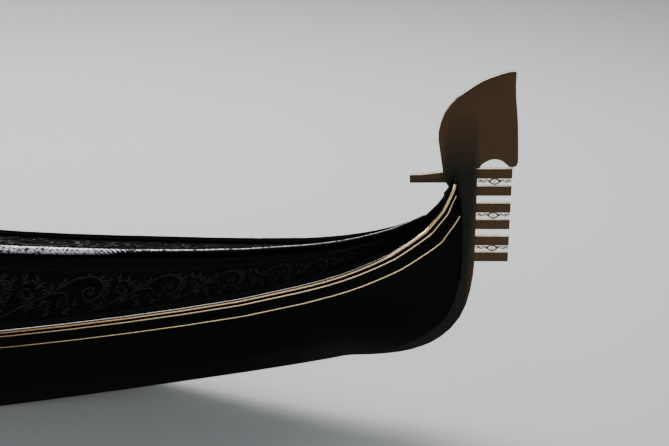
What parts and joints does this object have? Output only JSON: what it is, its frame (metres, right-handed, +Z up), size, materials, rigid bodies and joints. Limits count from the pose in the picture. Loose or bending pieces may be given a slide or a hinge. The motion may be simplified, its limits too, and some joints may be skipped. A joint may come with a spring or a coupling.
{
  "type": "gondola boat",
  "caption": "Flat-bottomed rowing boat with a black lacquered hull, decked carved bow and stern, an iron comb on the prow, an open passenger well and a rowlock post.",
  "frame": {"origin": "underside of the flat bottom amidships, in the plane of the prow iron", "axes": "+X towards the bow, +Y to port, +Z up"},
  "size_m": [10.6523, 1.4538, 1.798],
  "materials": {
    "black_lacquer": "gloss black lacquer",
    "dark_iron": "satin, worn bright on its edges",
    "walnut": "oiled",
    "floor_wood": "worn",
    "red_cloth": "woven upholstery",
    "brass": "polished"
  },
  "bodies": {
    "hull": {"hull_bottom": "black_lacquer", "hull_side_port": "black_lacquer", "hull_side_starboard": "black_lacquer", "stem_block": "black_lacquer", "stern_block": "black_lacquer", "gunwale_port": "black_lacquer", "gunwale_starboard": "black_lacquer", "foredeck_port": "black_lacquer", "foredeck_starboard": "black_lacquer", "foredeck_ridge": "black_lacquer", "aftdeck_port": "black_lacquer", "aftdeck_starboard": "black_lacquer", "aftdeck_ridge": "black_lacquer", "fore_bulkhead": "black_lacquer", "aft_bulkhead": "black_lacquer", "rib_1": "black_lacquer", "rib_2": "black_lacquer", "rib_3": "black_lacquer", "rib_4": "black_lacquer", "rib_5": "black_lacquer", "prow_iron": "dark_iron", "prow_ornament_1": "dark_iron", "prow_ornament_2": "dark_iron", "prow_ornament_3": "dark_iron", "stern_iron": "dark_iron", "rowing_platform": "walnut", "aftdeck_end_board": "walnut", "foredeck_end_board": "walnut", "foot_wedge": "walnut", "seat_arm_port": "walnut", "seat_arm_starboard": "walnut", "seat_base": "walnut", "seat_back": "walnut", "chair_port": "walnut", "chair_starboard": "walnut", "rowlock_socket": "walnut", "floorboards": "floor_wood", "seat_cushion": "red_cloth", "seat_back_pad": "red_cloth", "chair_cushion_port": "red_cloth", "chair_cushion_starboard": "red_cloth", "sea_horse_port": "brass", "sea_horse_starboard": "brass"},
    "bow_door": {"bow_locker_door": "walnut"},
    "hatch": {"stern_hatch": "walnut"},
    "rowlock": {"rowlock_post": "walnut"}
  },
  "joints": [
    {"name": "bow_door_hinge", "type": "hinge", "parent": "hull", "child": "bow_door", "pos_m": [2.5184, 0.2158, 0.503], "axis": [0, 0, -1], "range_deg": [0, 105]},
    {"name": "stern_hatch_hinge", "type": "hinge", "parent": "hull", "child": "hatch", "pos_m": [-2.379, 0.06, 0.7433], "axis": [0, -1, 0], "range_deg": [0, 100]},
    {"name": "rowlock_lift", "type": "slide", "parent": "hull", "child": "rowlock", "axis": [0, 0, 1], "range_m": [0, 0.15]}
  ]
}
